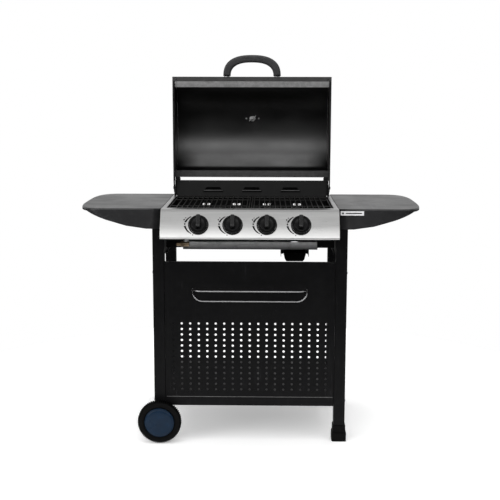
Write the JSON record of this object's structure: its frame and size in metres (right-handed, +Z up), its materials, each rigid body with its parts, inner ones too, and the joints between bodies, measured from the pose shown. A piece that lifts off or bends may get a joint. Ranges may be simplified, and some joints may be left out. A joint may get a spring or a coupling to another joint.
{
  "type": "gas barbecue grill",
  "caption": "Gas barbecue on a wheeled cart: hinged lid, wire grates over tube burners, stainless control panel with knobs, side shelves, perforated front panel, drip tray and grease cup.",
  "frame": {"origin": "on the floor, under the middle of the whole outline with the lid open", "axes": "+X to the cook's right, +Y away from the cook, +Z up"},
  "size_m": [1.21, 0.6917, 1.374],
  "materials": {
    "black_steel": "satin black powder coat",
    "shelf_steel": "semi-gloss black powder coat",
    "firebox_enamel": "matt high-temperature black",
    "lid_enamel": "satin black enamel",
    "grate_enamel": "porcelain-enamelled wire",
    "stainless": "brushed stainless steel",
    "galvanised": "galvanised sheet",
    "burner_steel": "heat-tinted steel tube",
    "bright_wire": "bright chromed wire",
    "zinc": "zinc plated",
    "brass": "machined brass",
    "black_plastic": "moulded black plastic",
    "knob_plastic": "semi-gloss heat-resistant plastic",
    "tyre_plastic": "hard ribbed tyre",
    "blue_plastic": "dark blue moulded cap",
    "ceramic": "glazed white ceramic",
    "dial_white": "printed dial",
    "needle_red": "painted needle",
    "badge_silver": "satin blank badge"
  },
  "bodies": {
    "cart": {"legs_left": "black_steel", "legs_right": "black_steel", "feet": "black_plastic", "bottom_shelf": "black_steel", "front_panel": "black_steel", "towel_rail": "bright_wire", "side_rails": "black_steel", "cross_rails": "black_steel", "side_shelf_left": "shelf_steel", "side_shelf_right": "shelf_steel", "shelf_brackets": "black_steel", "badge": "badge_silver", "firebox": "firebox_enamel", "back_wall": "firebox_enamel", "rim_strips": "stainless", "hinge_brackets": "firebox_enamel", "control_panel": "stainless", "knob_bezels": "knob_plastic", "manifold": "galvanised", "gas_inlet": "brass", "valve_bodies": "galvanised", "burners": "burner_steel", "flame_tamers": "burner_steel", "spark_electrodes": "ceramic", "cooking_grates": "grate_enamel", "tray_runners": "black_steel", "axle": "zinc", "frame_bolts": "zinc"},
    "drip_tray": {"drip_tray": "galvanised"},
    "grease_cup": {"grease_cup": "firebox_enamel"},
    "lid": {"lid_skin": "lid_enamel", "lid_cap_left": "lid_enamel", "lid_cap_right": "lid_enamel", "lid_handle": "black_plastic", "handle_fixings": "zinc", "thermometer_case": "stainless", "thermometer_dial": "dial_white", "thermometer_stem": "zinc"},
    "thermometer_needle": {"thermometer_needle": "needle_red"},
    "front_wheel": {"front_tyre": "tyre_plastic", "front_wheel": "black_plastic", "front_hub_cap": "blue_plastic"},
    "rear_wheel": {"rear_tyre": "tyre_plastic", "rear_wheel": "black_plastic", "rear_hub_cap": "blue_plastic"},
    "valve_plug_1": {"valve_plug_1": "brass"},
    "knob_1": {"valve_stem_1": "zinc", "knob_1": "knob_plastic"},
    "valve_plug_2": {"valve_plug_2": "brass"},
    "knob_2": {"valve_stem_2": "zinc", "knob_2": "knob_plastic"},
    "valve_plug_3": {"valve_plug_3": "brass"},
    "knob_3": {"valve_stem_3": "zinc", "knob_3": "knob_plastic"},
    "valve_plug_4": {"valve_plug_4": "brass"},
    "knob_4": {"valve_stem_4": "zinc", "knob_4": "knob_plastic"}
  },
  "joints": [
    {"name": "lid_hinge", "type": "hinge", "parent": "cart", "child": "lid", "pos_m": [0, 0.161, 0.869], "axis": [1, 0, 0], "range_deg": [0, 90]},
    {"name": "thermometer_turn", "type": "hinge", "parent": "lid", "child": "thermometer_needle", "pos_m": [0, 0.3364, 1.13], "axis": [0, -1, 0], "range_deg": [0, 270], "stiffness_Nm_per_rad": 0.0001},
    {"name": "tray_slide", "type": "slide", "parent": "cart", "child": "drip_tray", "axis": [0, 1, 0], "range_m": [0, 0.33]},
    {"name": "cup_slide", "type": "slide", "parent": "drip_tray", "child": "grease_cup", "axis": [0, 1, 0], "range_m": [0, 0.1]},
    {"name": "front_wheel_spin", "type": "hinge", "parent": "cart", "child": "front_wheel", "pos_m": [-0.32, -0.284, 0.0775], "axis": [0, 1, 0], "continuous": true},
    {"name": "rear_wheel_spin", "type": "hinge", "parent": "cart", "child": "rear_wheel", "pos_m": [-0.32, 0.248, 0.0775], "axis": [0, 1, 0], "continuous": true},
    {"name": "burner_1_turn", "type": "hinge", "parent": "cart", "child": "valve_plug_1", "pos_m": [-0.1755, -0.30918, 0.7879], "axis": [0, -0.8988, 0.4384], "range_deg": [0, 180]},
    {"name": "knob_1_push", "type": "slide", "parent": "valve_plug_1", "child": "knob_1", "axis": [0, 0.8988, -0.4384], "range_m": [0, 0.004], "stiffness_N_per_m": 1500, "springref_m": -0.002},
    {"name": "burner_2_turn", "type": "hinge", "parent": "cart", "child": "valve_plug_2", "pos_m": [-0.0585, -0.30918, 0.7879], "axis": [0, -0.8988, 0.4384], "range_deg": [0, 180]},
    {"name": "knob_2_push", "type": "slide", "parent": "valve_plug_2", "child": "knob_2", "axis": [0, 0.8988, -0.4384], "range_m": [0, 0.004], "stiffness_N_per_m": 1500, "springref_m": -0.002},
    {"name": "burner_3_turn", "type": "hinge", "parent": "cart", "child": "valve_plug_3", "pos_m": [0.0585, -0.30918, 0.7879], "axis": [0, -0.8988, 0.4384], "range_deg": [0, 180]},
    {"name": "knob_3_push", "type": "slide", "parent": "valve_plug_3", "child": "knob_3", "axis": [0, 0.8988, -0.4384], "range_m": [0, 0.004], "stiffness_N_per_m": 1500, "springref_m": -0.002},
    {"name": "burner_4_turn", "type": "hinge", "parent": "cart", "child": "valve_plug_4", "pos_m": [0.1755, -0.30918, 0.7879], "axis": [0, -0.8988, 0.4384], "range_deg": [0, 180]},
    {"name": "knob_4_push", "type": "slide", "parent": "valve_plug_4", "child": "knob_4", "axis": [0, 0.8988, -0.4384], "range_m": [0, 0.004], "stiffness_N_per_m": 1500, "springref_m": -0.002}
  ]
}
